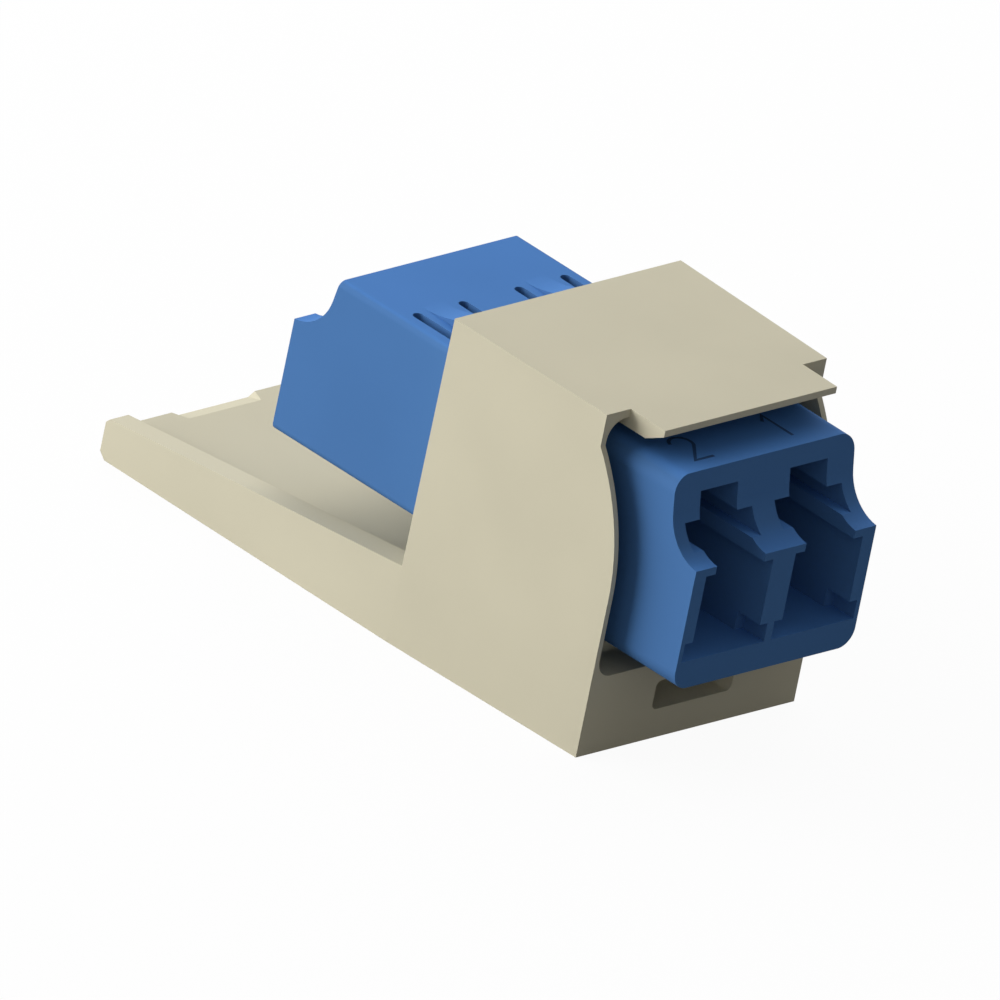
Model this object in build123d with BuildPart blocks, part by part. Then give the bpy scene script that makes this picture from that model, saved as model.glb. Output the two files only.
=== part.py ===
from build123d import *
import os
from math import atan, cos, degrees, radians, sin, tan

os.makedirs("parts", exist_ok=True)

# Duplex LC fibre adapter held in a snap-in panel module.
# Millimetres. X runs across the two ports, Y from the front ports back to the arm's tail, Z up.
# The origin is the middle of the overall length and width, on the module's flat underside.

# Adapter, outside: the rear half is a little shallower than the front half, above and below
port_pitch = 6.25
groove_divider = 0.48
port_side_wall = 0.28
adapter_length = 29.24
adapter_lift = 5.425
adapter_overhang = 4.125
front_height = 10.76
front_edge_radius = 1.0
rear_bottom_step = 0.51
rear_top_step = 0.76
rear_edge_radius = 0.38

# Adapter ends: a full-depth lower part, a concave scoop and a set-back upper face with a draft
step_height = 6.7
scoop_height = 2.06
scoop_depth = 2.24
face_draft = 10

# Ports, with heights above the front half's underside
port_width = 4.69
port_floor = 1.55
ledge_underside = 6.26
ledge_gap = 3.41
ledge_top = 7.06
shoulder_underside = 8.24
shoulder_thickness = 2.16
keyway_width = 2.61
front_top_wall = 1.08
rear_top_wall = 0.55
groove_height = 1.03
groove_depth = 1.6
bulkhead = 1.6

# Ferrule sleeves and their holders
sleeve_bore = 1.247
sleeve_wall = 0.186
sleeve_length = 6.8
sleeve_slit = 0.18
tube_wall = 0.35
lip_catch = 0.11
lip_length = 1.0
mouth_wall = 0.2
plate_width = 10.2
plate_height = 4.4
plate_thickness = 0.75
plate_radius = 0.6

# Weld pins between the two adapter halves
weld_pin_radius = 0.7
weld_pin_length = 1.2
weld_pin_spacing = 9.4
weld_pin_height = 8.2

# Stop flange on the adapter's sides
flange_bottom = 1.6
flange_height = 7.4
flange_thickness = 1.2
flange_root = 0.4

# Snap tabs on the adapter's top
tab_spacing = 7.1
tab_width = 2.6
tab_slot = 0.6
tab_length = 5.5
tab_tip = 0.6
ramp_width = 1.5
ramp_height = 2.3
ramp_length = 5.27

# Module, outside
housing_depth = 13.5
pocket_side_gap = 1.04
pocket_side_wall = 0.295
side_flare = 0.265
back_lean = 0.1
arm_length = 21.22
arm_taper = 0.28
roof_gap = 0.785
roof_thickness = 1.015
roof_slope = 0.8
side_arc_height = 7.3
notch_depth = 2.5
notch_face_height = 1.78
lip_width = 12.0
lip_face_height = 0.37
lip_bevel_length = 1.2
arm_root_height = 4.24
tail_height = 2.22
tail_top_bevel = 0.25
tail_bottom_bevel_length = 0.39
tail_bottom_bevel_height = 0.37

# Module, inside
floor_thickness = 1.65
tail_floor_thickness = 1.51
foot_width = 1.03
foot_height = 0.59
front_wall = 0.95
shelf_depth = 2.12
shelf_gap = 1.09
shelf_thickness = 0.93
pocket_depth = 5.2
pocket_cover = 0.47
pocket_lower_radius = 1.0
pocket_upper_radius = 1.05
slot_width = 5.55
slot_height = 1.62
slot_radius = 0.35
rail_reach = 2.2
rail_thickness = 1.1
rib_width = 0.8
rib_spacing = 2.4
seat_setback = 1.0
trough_width = 5.8
trough_floor_width = 4.98
trough_depth = 0.25
trough_length = 0.9

# Clearances
seat_clearance = 0.05
plate_clearance = 0.05
sleeve_clearance = 0.04

# Places along Y
overall_length = adapter_overhang + housing_depth + arm_length
adapter_front_y = -overall_length / 2
housing_front_y = adapter_front_y + adapter_overhang
pocket_back_y = housing_front_y + pocket_depth
housing_back_y = housing_front_y + housing_depth
tail_y = housing_back_y + arm_length
adapter_mid_y = adapter_front_y + adapter_length / 2
catch_y = housing_back_y + seat_clearance

# Sizes of the adapter that follow from the ones above
groove_width = port_pitch - groove_divider
adapter_width = port_pitch + groove_width + 2 * port_side_wall
adapter_top = adapter_lift + front_height
rear_top = adapter_top - rear_top_step
ferrule_z = adapter_lift + (port_floor + ledge_underside) / 2
plate_recess = plate_thickness + plate_clearance
port_depth = adapter_length / 2 - plate_recess - bulkhead
sleeve_radius = sleeve_bore / 2 + sleeve_wall
tube_bore_radius = sleeve_radius + sleeve_clearance
tube_radius = tube_bore_radius + tube_wall
tube_length = sleeve_length / 2 + sleeve_clearance + lip_length

# Sizes of the module that follow from the adapter
seat_width = adapter_width + 2 * seat_clearance
pocket_width = adapter_width + 2 * pocket_side_gap
flange_width = pocket_width - 2 * seat_clearance
housing_front_width = pocket_width + 2 * pocket_side_wall
housing_back_width = housing_front_width + 2 * side_flare
tail_width = housing_back_width - 2 * arm_taper
ceiling_height = adapter_top + roof_gap
roof_height = ceiling_height + roof_thickness
roof_rise = tan(radians(roof_slope))
notch_height = roof_height - notch_face_height
shelf_height = adapter_lift - shelf_gap
shelf_underside = shelf_height - shelf_thickness


def upright(y, z=0):
    """Plane across the object at y that faces forward: sketch x is X, sketch y is the height above z."""
    return Plane(origin=(0, y, z), x_dir=(1, 0, 0), z_dir=(0, -1, 0))


def side_on(y, z=0):
    """Plane along the object's middle: sketch x is the distance behind y, sketch y the height above z."""
    return Plane(origin=(0, y, z), x_dir=(0, 1, 0), z_dir=(1, 0, 0))


def port_band(width, bottom, top):
    """Draw one band of the port outline, between two heights, for both ports."""
    with Locations((-port_pitch / 2, bottom), (port_pitch / 2, bottom)):
        Rectangle(width, top - bottom, align=(Align.CENTER, Align.MIN))


def paired_circles(radius, spacing, height):
    """Draw two circles side by side at a height."""
    with Locations((-spacing / 2, height), (spacing / 2, height)):
        Circle(radius)


def channel_section(floor, top):
    """Draw the inside of the module's channel: flat floor, sloped feet, upright walls up to a height."""
    wall = seat_width / 2
    foot = wall - foot_width
    foot_top = floor + foot_height
    Polygon(
        (-foot, floor),
        (foot, floor),
        (wall, foot_top),
        (wall, top),
        (-wall, top),
        (-wall, foot_top),
        align=None,
    )


def port_half(bottom, top, edge_radius, top_wall):
    """One half of the adapter's body, from its ports at the front to the mid-plane."""
    with BuildPart() as half:
        with BuildSketch(upright(adapter_front_y, adapter_lift)):
            with Locations((0, (bottom + top) / 2)):
                RectangleRounded(adapter_width, top - bottom, edge_radius)
        extrude(amount=-adapter_length / 2)

        # Scoop and set-back upper face
        scoop_start = (scoop_depth, step_height + scoop_height)
        draft = radians(face_draft)
        face_recess = scoop_depth + (top - step_height - scoop_height) * tan(draft)
        with BuildSketch(side_on(adapter_front_y, adapter_lift)):
            with BuildLine():
                TangentArc(scoop_start, (0, step_height), tangent=(-sin(draft), -cos(draft)))
                Polyline((0, step_height), (0, top), (face_recess, top), scoop_start)
            make_face()
        extrude(amount=adapter_width / 2, both=True, mode=Mode.SUBTRACT)

        # Ports: plug body, gap between the ledges, latch channel and keyway
        keyway_top = top - top_wall
        with BuildSketch(upright(adapter_front_y, adapter_lift)):
            port_band(port_width, port_floor, ledge_underside)
            port_band(ledge_gap, ledge_underside, ledge_top)
            port_band(port_width, ledge_top, shoulder_underside)
            port_band(keyway_width, shoulder_underside, keyway_top)
        extrude(amount=-port_depth, mode=Mode.SUBTRACT)

        # Relief grooves at the foot of each mouth
        with BuildSketch(upright(adapter_front_y, adapter_lift)):
            port_band(groove_width, port_floor, port_floor + groove_height)
        extrude(amount=-groove_depth, mode=Mode.SUBTRACT)

        # Latch pockets behind the shoulders
        pocket_start = scoop_depth + shoulder_thickness
        with BuildSketch(upright(adapter_front_y + pocket_start, adapter_lift)):
            port_band(port_width, ledge_top, keyway_top)
        extrude(amount=pocket_start - port_depth, mode=Mode.SUBTRACT)

        # Seat for the sleeve holder's plate, and the holes that its tubes pass through
        with BuildSketch(upright(adapter_mid_y, ferrule_z)):
            RectangleRounded(
                plate_width + 2 * plate_clearance,
                plate_height + 2 * plate_clearance,
                plate_radius + plate_clearance,
            )
        extrude(amount=plate_recess, mode=Mode.SUBTRACT)
        with BuildSketch(upright(adapter_mid_y, ferrule_z)):
            paired_circles(tube_radius + plate_clearance, port_pitch, 0)
        extrude(amount=plate_recess + bulkhead, mode=Mode.SUBTRACT)
    return half.part


mid_plane = upright(adapter_mid_y, ferrule_z)
front_half = port_half(0, front_height, front_edge_radius, front_top_wall)
rear_half = port_half(rear_bottom_step, front_height - rear_top_step, rear_edge_radius, rear_top_wall)

# Front half: stop flanges on its sides and weld pins on its joint face
with BuildPart() as front_shell:
    add(front_half)
    with BuildSketch(upright(pocket_back_y - plate_clearance, adapter_lift + flange_bottom)):
        Rectangle(flange_width, flange_height, align=(Align.CENTER, Align.MIN))
        Rectangle(
            adapter_width - 2 * flange_root,
            flange_height,
            align=(Align.CENTER, Align.MIN),
            mode=Mode.SUBTRACT,
        )
    extrude(amount=flange_thickness)
    with BuildSketch(upright(adapter_mid_y, adapter_lift)):
        paired_circles(weld_pin_radius, weld_pin_spacing, weld_pin_height)
    extrude(amount=-weld_pin_length)

front_shell.part.label = "front_shell"
export_step(front_shell.part, "parts/front_shell.step")

# Rear half: holes for the weld pins, and two snap tabs that catch the rear edge of the module's roof
with BuildPart() as rear_shell:
    add(mirror(rear_half, about=mid_plane, mode=Mode.PRIVATE))
    with BuildSketch(upright(adapter_mid_y, adapter_lift)):
        paired_circles(weld_pin_radius + plate_clearance, weld_pin_spacing, weld_pin_height)
    extrude(amount=-(weld_pin_length + plate_clearance), mode=Mode.SUBTRACT)

    # Slots round each tab, which join across its tip
    tip_y = catch_y - tab_tip
    side_slot_offset = (tab_width + tab_slot) / 2
    with BuildSketch(Plane.XY.offset(rear_top)):
        with Locations((-tab_spacing / 2, tip_y), (tab_spacing / 2, tip_y)):
            Rectangle(tab_width + tab_slot, tab_slot, align=(Align.CENTER, Align.MAX))
            with Locations(
                (-side_slot_offset, (tab_length - tab_slot) / 2),
                (side_slot_offset, (tab_length - tab_slot) / 2),
            ):
                SlotOverall(tab_length + tab_slot, tab_slot, rotation=90)
    extrude(amount=-rear_top_wall, mode=Mode.SUBTRACT)

    # Ramps on the tabs, which curve up from the top to the catch
    for side in (-1, 1):
        ramp_plane = side_on(catch_y, rear_top).offset(side * tab_spacing / 2)
        with BuildSketch(ramp_plane):
            with BuildLine():
                TangentArc((ramp_length, 0), (0, ramp_height), tangent=(-1, 0))
                Polyline((0, ramp_height), (0, 0), (ramp_length, 0))
            make_face()
        extrude(amount=ramp_width / 2, both=True)

rear_shell.part.label = "rear_shell"
export_step(rear_shell.part, "parts/rear_shell.step")

# Sleeve holder, front half: a plate clamped at the mid-plane with two tubes that reach into the ports
with BuildPart() as sleeve_holder_front:
    with BuildSketch(mid_plane):
        RectangleRounded(plate_width, plate_height, plate_radius)
    extrude(amount=plate_thickness)
    with BuildSketch(mid_plane):
        paired_circles(tube_radius, port_pitch, 0)
    extrude(amount=tube_length)
    with BuildSketch(mid_plane):
        paired_circles(tube_bore_radius, port_pitch, 0)
    extrude(amount=tube_length - lip_length, mode=Mode.SUBTRACT)

    # Lips that keep the sleeves in, opened out to a lead-in cone at each mouth
    lip_radius = sleeve_radius - lip_catch
    cone_angle = degrees(atan((tube_radius - mouth_wall - lip_radius) / lip_length))
    with BuildSketch(mid_plane.offset(tube_length - lip_length)):
        paired_circles(lip_radius, port_pitch, 0)
    extrude(amount=lip_length, taper=-cone_angle, mode=Mode.SUBTRACT)

sleeve_holder_front.part.label = "sleeve_holder_front"
export_step(sleeve_holder_front.part, "parts/sleeve_holder_front.step")

with BuildPart() as sleeve_holder_rear:
    add(mirror(sleeve_holder_front.part, about=mid_plane, mode=Mode.PRIVATE))

sleeve_holder_rear.part.label = "sleeve_holder_rear"
export_step(sleeve_holder_rear.part, "parts/sleeve_holder_rear.step")

# Split sleeves, one on each port's axis, with the slit on top
for name, side in (("split_sleeve_a", 1), ("split_sleeve_b", -1)):
    with BuildPart() as split_sleeve:
        with BuildSketch(mid_plane):
            with Locations((side * port_pitch / 2, 0)):
                Circle(sleeve_radius)
                Circle(sleeve_bore / 2, mode=Mode.SUBTRACT)
                Rectangle(
                    sleeve_slit,
                    sleeve_radius,
                    align=(Align.CENTER, Align.MIN),
                    mode=Mode.SUBTRACT,
                )
        extrude(amount=sleeve_length / 2, both=True)

    split_sleeve.part.label = name
    export_step(split_sleeve.part, f"parts/{name}.step")

# Module: housing round the adapter, and the channel-shaped latch arm behind it, in one moulding
with BuildPart() as housing:
    # Side view
    roof_back_height = roof_height + (housing_depth - notch_depth) * roof_rise
    module_length = housing_depth + arm_length
    with BuildSketch(side_on(housing_front_y)):
        with BuildLine():
            Line((0, 0), (0, notch_height - side_arc_height))
            TangentArc((0, notch_height - side_arc_height), (notch_depth, notch_height), tangent=(0, 1))
            Polyline(
                (notch_depth, notch_height),
                (notch_depth, roof_height),
                (housing_depth - back_lean, roof_back_height),
                (housing_depth, arm_root_height),
                (module_length - tail_top_bevel, tail_height),
                (module_length, tail_height - tail_top_bevel),
                (module_length, tail_bottom_bevel_height),
                (module_length - tail_bottom_bevel_length, 0),
                (0, 0),
            )
        make_face()
    extrude(amount=housing_back_width / 2, both=True)

    # Plan: the sides flare to the back of the housing and close in again along the arm
    with BuildSketch(Plane.XY):
        with BuildLine():
            Polyline(
                (0, housing_front_y),
                (housing_front_width / 2, housing_front_y),
                (housing_back_width / 2, housing_back_y),
                (tail_width / 2, tail_y),
                (0, tail_y),
            )
            mirror(about=Plane.YZ)
        make_face()
    extrude(amount=roof_back_height, mode=Mode.INTERSECT)

    # Front pocket
    pocket_top = roof_height - pocket_cover
    with BuildSketch(upright(housing_front_y)) as pocket_outline:
        with Locations((0, shelf_height)):
            Rectangle(pocket_width, pocket_top - shelf_height, align=(Align.CENTER, Align.MIN))
        fillet(pocket_outline.vertices().group_by(Axis.Y)[0], pocket_lower_radius)
        fillet(pocket_outline.vertices().group_by(Axis.Y)[-1], pocket_upper_radius)
    extrude(amount=-pocket_depth, mode=Mode.SUBTRACT)

    # Lip over the ports, which runs back through the pocket as a thicker band of the roof
    with BuildSketch(side_on(housing_front_y)):
        lip_top = roof_height - notch_depth * roof_rise
        with BuildLine():
            Polyline(
                (0, lip_top),
                (0, lip_top - lip_face_height),
                (lip_bevel_length, ceiling_height),
                (pocket_depth, ceiling_height),
                (pocket_depth, lip_top + pocket_depth * roof_rise),
                close=True,
            )
        make_face()
    extrude(amount=lip_width / 2, both=True)

    # Cavity round the adapter, the space under the front shelf, and the arm's channel
    with BuildSketch(upright(housing_front_y + shelf_depth)):
        channel_section(floor_thickness, ceiling_height)
    extrude(amount=shelf_depth - housing_depth, mode=Mode.SUBTRACT)
    with BuildSketch(upright(housing_front_y + front_wall)):
        channel_section(floor_thickness, shelf_underside)
    extrude(amount=front_wall - shelf_depth, mode=Mode.SUBTRACT)
    with BuildSketch(upright(housing_back_y)):
        channel_section(floor_thickness, ceiling_height)
    with BuildSketch(upright(tail_y)):
        channel_section(tail_floor_thickness, ceiling_height)
    loft(mode=Mode.SUBTRACT)

    # Slot in the front wall, level with the floor
    with BuildSketch(upright(housing_front_y, floor_thickness)):
        with Locations((0, slot_height / 2)):
            RectangleRounded(slot_width, slot_height, slot_radius)
    extrude(amount=-front_wall, mode=Mode.SUBTRACT)

    # Rails that the adapter stands on and ribs that hold it down, set to the depth of each adapter half
    seat_back_y = housing_back_y - seat_setback
    for front_y, back_y, underside, top in (
        (pocket_back_y, adapter_mid_y, adapter_lift, adapter_top),
        (adapter_mid_y + seat_clearance, seat_back_y, adapter_lift + rear_bottom_step, rear_top),
    ):
        with BuildSketch(upright(front_y)):
            rail_middle = (seat_width - rail_reach) / 2
            rail_top = underside - seat_clearance
            with Locations((-rail_middle, rail_top), (rail_middle, rail_top)):
                Rectangle(rail_reach, rail_thickness, align=(Align.CENTER, Align.MAX))
            rib_bottom = top + seat_clearance
            with Locations((-rib_spacing / 2, rib_bottom), (rib_spacing / 2, rib_bottom)):
                Rectangle(rib_width, ceiling_height - rib_bottom, align=(Align.CENTER, Align.MIN))
        extrude(amount=front_y - back_y)

    # Shallow trough in the floor at the tail, which fades out towards the housing
    with BuildSketch(upright(tail_y, tail_floor_thickness)):
        with BuildLine():
            Polyline(
                (-trough_width / 2, 0),
                (-trough_floor_width / 2, -trough_depth),
                (trough_floor_width / 2, -trough_depth),
                (trough_width / 2, 0),
                close=True,
            )
        make_face()
    extrude(amount=trough_length, dir=(0, -trough_length, trough_depth), mode=Mode.SUBTRACT)

housing.part.label = "housing"
export_step(housing.part, "parts/housing.step")
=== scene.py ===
import math

import bpy
from mathutils import Matrix, Vector

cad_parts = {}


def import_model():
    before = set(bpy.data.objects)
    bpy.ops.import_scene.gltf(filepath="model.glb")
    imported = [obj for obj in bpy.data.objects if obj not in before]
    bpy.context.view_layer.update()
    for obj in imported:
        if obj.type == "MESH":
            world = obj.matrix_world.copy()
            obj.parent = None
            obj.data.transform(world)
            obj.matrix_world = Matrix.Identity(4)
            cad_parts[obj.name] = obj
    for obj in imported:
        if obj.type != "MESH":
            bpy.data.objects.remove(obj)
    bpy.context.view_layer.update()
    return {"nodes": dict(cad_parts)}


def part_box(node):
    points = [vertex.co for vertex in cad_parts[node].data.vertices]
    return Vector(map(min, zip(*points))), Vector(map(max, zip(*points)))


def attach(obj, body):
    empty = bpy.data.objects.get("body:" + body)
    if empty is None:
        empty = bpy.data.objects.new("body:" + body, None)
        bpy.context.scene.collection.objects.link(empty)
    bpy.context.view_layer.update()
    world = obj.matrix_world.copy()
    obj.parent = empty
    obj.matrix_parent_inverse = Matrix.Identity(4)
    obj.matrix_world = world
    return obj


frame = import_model()
scene = bpy.context.scene
scene.view_settings.view_transform = "Standard"

MM = 0.001

# Camera: parallel projection from the front left, with the picture rolled a little
VIEW_AZIMUTH = math.radians(-48.9)
VIEW_ELEVATION = math.radians(25.4)
VIEW_ROLL = math.radians(11.7)
VIEW_CENTRE = Vector((0, -0.3425, 5.595)) * MM
VIEW_WIDTH = 49.53 * MM
VIEW_DISTANCE = 400 * MM
CLIP_NEAR = 0.01
CLIP_FAR = 10.0

# Colours, as linear values
IVORY = (0.577, 0.5385, 0.404)
BLUE = (0.067, 0.173, 0.397)
# Painted light: the blue for upward faces is brighter and purer, standing in for the light that
# falls on tops
BLUE_PAINTED_TOP_LIGHT = (0.0714, 0.206, 0.517)
# Painted shade: the dark blue of the port numbers stands in for the shade inside engraved digits
PAINTED_RECESS_SHADE_BLUE = (0.020, 0.060, 0.155)
CERAMIC = (0.86, 0.84, 0.78)

# Surface of the mouldings: drift of tone from the melt's flow, and eroded grain
TONE_DRIFT = 0.03
TONE_START = 0.3
TONE_END = 0.7
FLOW_SCALE = 120
FLOW_DETAIL = 2
GRAIN_SCALE = 9000
GRAIN_DETAIL = 3
GRAIN_DEPTH = 0.01 * MM
PLASTIC_IOR = 1.5

# Upward part of a face's unit normal at which the painted top light, a brighter and purer blue
# on upward faces, starts to show
PAINTED_TOP_LIGHT_START = 0.7

# Port numbers, on the adapter's top in front of the lip, drawn as dark strokes that paint the
# shade of engraved digits
DIGIT_HEIGHT = 2.3 * MM
STROKE_WIDTH = 0.19 * MM
STROKE_RISE = 0.008 * MM
STROKE_ROOT = 0.1 * MM
DIGIT_FRONT = 0.95 * MM
FACE_RECESS = 2.59 * MM
ONE_X = 2.8 * MM
TWO_X = -3.4 * MM
MITRE_LIMIT = 0.5

# Light and backdrop
LAMP_SIZE = 400 * MM
LAMP_DISTANCE = 350 * MM
SKY_LEVEL = 0.235
FLOOR_REACH = 20.0
FLOOR_WHITENESS = 0.95
FLOOR_SHADE = 0.9
FLOOR_BOUNCE = 0.25
WHITE = 1.0


def new_material(name):
    """A new material and its node tree."""
    material = bpy.data.materials.new(name)
    material.use_nodes = True
    return material, material.node_tree


def noise(tree, scale, detail):
    """A noise texture in the object's own coordinates."""
    coordinates = tree.nodes.new("ShaderNodeTexCoord")
    texture = tree.nodes.new("ShaderNodeTexNoise")
    texture.inputs["Scale"].default_value = scale
    texture.inputs["Detail"].default_value = detail
    tree.links.new(coordinates.outputs["Object"], texture.inputs["Vector"])
    return texture


def drifting_tone(tree, flow, colour):
    """A colour that drifts a little darker and lighter with a noise."""
    tones = tree.nodes.new("ShaderNodeValToRGB")
    stops = ((TONE_START, 1 - TONE_DRIFT), (TONE_END, 1 + TONE_DRIFT))
    for element, (position, gain) in zip(tones.color_ramp.elements, stops):
        element.position = position
        element.color = (*[min(1, c * gain) for c in colour], 1)
    tree.links.new(flow.outputs["Fac"], tones.inputs["Fac"])
    return tones.outputs["Color"]


def painted_top_light_share(tree):
    """1 on faces that look straight up, down to 0 where they lean about 45 degrees from it; the
    share of painted top light.
    """
    coordinates = tree.nodes.new("ShaderNodeTexCoord")
    split = tree.nodes.new("ShaderNodeSeparateXYZ")
    share = tree.nodes.new("ShaderNodeMapRange")
    share.inputs["From Min"].default_value = PAINTED_TOP_LIGHT_START
    tree.links.new(coordinates.outputs["Normal"], split.inputs["Vector"])
    tree.links.new(split.outputs["Z"], share.inputs["Value"])
    return share.outputs["Result"]


def moulded_plastic(name, colour, roughness, gloss, grain_strength, painted_top_light_colour=None):
    """A satin moulding with drifting tone and fine grain.

    Faces that look up take the second colour, where there is one: painted top light, brighter
    and purer, standing in for the light on upward faces.
    """
    material, tree = new_material(name)
    shader = tree.nodes["Principled BSDF"]
    flow = noise(tree, FLOW_SCALE, FLOW_DETAIL)
    base = drifting_tone(tree, flow, colour)
    # Painted top light: upward faces blend into the brighter, purer colour
    if painted_top_light_colour:
        mix = tree.nodes.new("ShaderNodeMix")
        mix.data_type = "RGBA"
        tree.links.new(painted_top_light_share(tree), mix.inputs["Factor"])
        tree.links.new(base, mix.inputs["A"])
        tree.links.new(drifting_tone(tree, flow, painted_top_light_colour), mix.inputs["B"])
        base = mix.outputs["Result"]
    tree.links.new(base, shader.inputs["Base Color"])

    grain = noise(tree, GRAIN_SCALE, GRAIN_DETAIL)
    bump = tree.nodes.new("ShaderNodeBump")
    bump.inputs["Strength"].default_value = grain_strength
    bump.inputs["Distance"].default_value = GRAIN_DEPTH
    tree.links.new(grain.outputs["Fac"], bump.inputs["Height"])
    tree.links.new(bump.outputs["Normal"], shader.inputs["Normal"])
    shader.inputs["Roughness"].default_value = roughness
    shader.inputs["IOR"].default_value = PLASTIC_IOR
    shader.inputs["Specular IOR Level"].default_value = gloss
    return material


def dress(node, material):
    """Give a CAD node its material."""
    mesh = frame["nodes"][node].data
    mesh.materials.clear()
    mesh.materials.append(material)


ivory_plastic = moulded_plastic(
    "ivory_plastic", IVORY, roughness=0.6, gloss=0.15, grain_strength=0.25
)
blue_plastic = moulded_plastic(
    "blue_plastic", BLUE, roughness=0.62, gloss=0.03, grain_strength=0.2, painted_top_light_colour=BLUE_PAINTED_TOP_LIGHT
)
ceramic = moulded_plastic(
    "ground_ceramic", CERAMIC, roughness=0.25, gloss=0.5, grain_strength=0.1
)
# Port numbers: a dark blue that paints the shade of the engraving
engraving_shade_paint = moulded_plastic(
    "painted_engraving_shade", PAINTED_RECESS_SHADE_BLUE, roughness=0.7, gloss=0.1, grain_strength=0.1
)

dress("housing", ivory_plastic)
for shell in ("front_shell", "rear_shell", "sleeve_holder_front", "sleeve_holder_rear"):
    dress(shell, blue_plastic)
for sleeve in ("split_sleeve_a", "split_sleeve_b"):
    dress(sleeve, ceramic)


def add(name, data):
    """A new object in the scene."""
    thing = bpy.data.objects.new(name, data)
    scene.collection.objects.link(thing)
    return thing


def digit_one():
    """Outline of a 1 of unit height: flag, then stem."""
    return [(-0.2, 0.76), (0.0, 1.0), (0.0, 0.0)]


def digit_two():
    """Outline of a 2 of unit height: an arc, then the slant and the foot."""
    radius = 0.28
    arc = [math.radians(degrees) for degrees in range(165, -45, -15)]
    top = [(radius * math.cos(a), 1 - radius + radius * math.sin(a)) for a in arc]
    return top + [(-0.26, 0.0), (0.30, 0.0)]


def stroke_sides(points, width):
    """The two sides of a stroke of even width along points in a plane, with mitred corners."""
    left, right = [], []
    for i, point in enumerate(points):
        before = (point - points[i - 1]).normalized() if i else None
        after = (points[i + 1] - point).normalized() if i + 1 < len(points) else None
        run = ((before or after) + (after or before)).normalized()
        half = width / 2 / max(MITRE_LIMIT, run.dot(after or before))
        across = Vector((-run.y, run.x)) * half
        left.append(point + across)
        right.append(point - across)
    return left, right


def port_number(name, outline, x):
    """A digit set into the adapter's top as one flat stroke, read from the front; its dark
    colour paints the shade inside an engraved digit.
    """
    low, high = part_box("front_shell")
    base_y = low.y + FACE_RECESS + DIGIT_FRONT
    points = [Vector((x + u * DIGIT_HEIGHT, base_y + v * DIGIT_HEIGHT)) for u, v in outline()]
    sides = stroke_sides(points, STROKE_WIDTH)
    levels = (high.z + STROKE_RISE, high.z - STROKE_ROOT)
    corners = [(p.x, p.y, z) for z in levels for side in sides for p in side]

    # Corners lie in four rows along the stroke
    count = len(points)
    rows = [range(row * count, (row + 1) * count) for row in range(4)]
    top_left, top_right, low_left, low_right = rows
    ring = (top_left, top_right, low_right, low_left, top_left)
    faces = [
        (a[i], b[i], b[i + 1], a[i + 1])
        for i in range(count - 1)
        for a, b in zip(ring, ring[1:])
    ]
    faces.append((top_left[0], low_left[0], low_right[0], top_right[0]))
    faces.append((top_left[-1], top_right[-1], low_right[-1], low_left[-1]))

    mesh = bpy.data.meshes.new(name)
    mesh.from_pydata(corners, [], faces)
    mesh.materials.append(engraving_shade_paint)
    digit = add(name, mesh)
    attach(digit, "root")


port_number("port_number_1", digit_one, ONE_X)
port_number("port_number_2", digit_two, TWO_X)


def facing_centre(direction, distance):
    """Place and turn of a camera or lamp that looks at the view's centre from a direction."""
    place = Matrix.Translation(VIEW_CENTRE + direction * distance)
    return place @ direction.to_track_quat("Z", "Y").to_matrix().to_4x4()


def camera():
    """Parallel camera at the photograph's angle."""
    data = bpy.data.cameras.new("camera")
    data.type = "ORTHO"
    data.ortho_scale = VIEW_WIDTH
    data.clip_start = CLIP_NEAR
    data.clip_end = CLIP_FAR
    back = Vector((
        math.sin(VIEW_AZIMUTH) * math.cos(VIEW_ELEVATION),
        -math.cos(VIEW_AZIMUTH) * math.cos(VIEW_ELEVATION),
        math.sin(VIEW_ELEVATION),
    ))
    shot = add("camera", data)
    shot.matrix_world = facing_centre(back, VIEW_DISTANCE) @ Matrix.Rotation(VIEW_ROLL, 4, "Z")
    scene.camera = shot


def lamp(name, direction, power):
    """Square soft box that shines at the object from a direction."""
    data = bpy.data.lights.new(name, "AREA")
    data.shape = "SQUARE"
    data.size = LAMP_SIZE
    data.energy = power
    add(name, data).matrix_world = facing_centre(Vector(direction).normalized(), LAMP_DISTANCE)


def larger(tree, first, second):
    """The larger of two values."""
    node = tree.nodes.new("ShaderNodeMath")
    node.operation = "MAXIMUM"
    tree.links.new(first, node.inputs[0])
    tree.links.new(second, node.inputs[1])
    return node.outputs["Value"]


def seen(tree):
    """1 for rays that show the backdrop: from the camera, off a gloss or through glass."""
    path = tree.nodes.new("ShaderNodeLightPath")
    direct = larger(tree, path.outputs["Is Camera Ray"], path.outputs["Is Glossy Ray"])
    return larger(tree, direct, path.outputs["Is Transmission Ray"])


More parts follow.
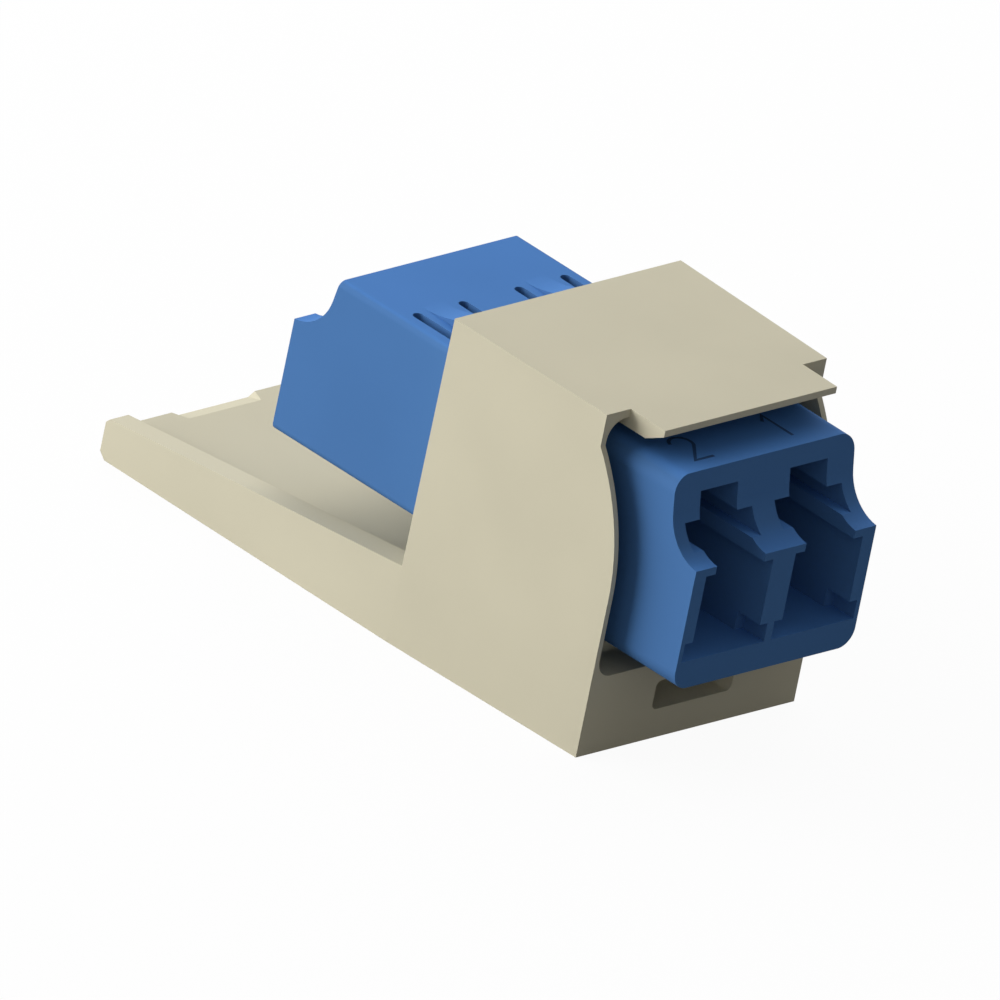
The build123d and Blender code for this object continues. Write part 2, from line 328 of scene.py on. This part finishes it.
def diffuse(tree, shade):
    """Plain grey diffuse surface."""
    node = tree.nodes.new("ShaderNodeBsdfDiffuse")
    node.inputs["Color"].default_value = (shade, shade, shade, 1)
    return node.outputs["BSDF"]


def mixed(tree, first, second):
    """Mix of two shaders, from all of the first at 0 to all of the second at 1."""
    node = tree.nodes.new("ShaderNodeMixShader")
    tree.links.new(first, node.inputs[1])
    tree.links.new(second, node.inputs[2])
    return node


def floor():
    """Wide floor: white with a faint shadow to the eye, and a dark grey to the light."""
    r = FLOOR_REACH
    mesh = bpy.data.meshes.new("floor")
    mesh.from_pydata([(-r, -r, 0), (r, -r, 0), (r, r, 0), (-r, r, 0)], [], [(0, 1, 2, 3)])
    plane = add("floor", mesh)
    material, tree = new_material("floor")
    tree.nodes.clear()
    plain = tree.nodes.new("ShaderNodeEmission")
    plain.inputs["Strength"].default_value = WHITE
    backdrop = mixed(tree, diffuse(tree, FLOOR_SHADE), plain.outputs["Emission"])
    backdrop.inputs["Fac"].default_value = FLOOR_WHITENESS
    surface = mixed(tree, diffuse(tree, FLOOR_BOUNCE), backdrop.outputs["Shader"])
    tree.links.new(seen(tree), surface.inputs["Fac"])
    output = tree.nodes.new("ShaderNodeOutputMaterial")
    tree.links.new(surface.outputs["Shader"], output.inputs["Surface"])
    mesh.materials.append(material)


def world(strength):
    """Even sky light, and a white backdrop beyond the floor's edge."""
    sky = bpy.data.worlds.new("world")
    sky.use_nodes = True
    tree = sky.node_tree
    background = tree.nodes["Background"]
    background.inputs["Color"].default_value = (1, 1, 1, 1)
    level = tree.nodes.new("ShaderNodeMapRange")
    level.inputs["To Min"].default_value = strength
    level.inputs["To Max"].default_value = WHITE
    tree.links.new(seen(tree), level.inputs["Value"])
    tree.links.new(level.outputs["Result"], background.inputs["Strength"])
    scene.world = sky


camera()
lamp("key", (-0.7, 0.7, 0.15), 2.86)
lamp("top", (0.5, 0.5, 0.7), 0.75)
lamp("fill", (-0.7, -0.7, 0.4), 0.097)
world(SKY_LEVEL)
floor()
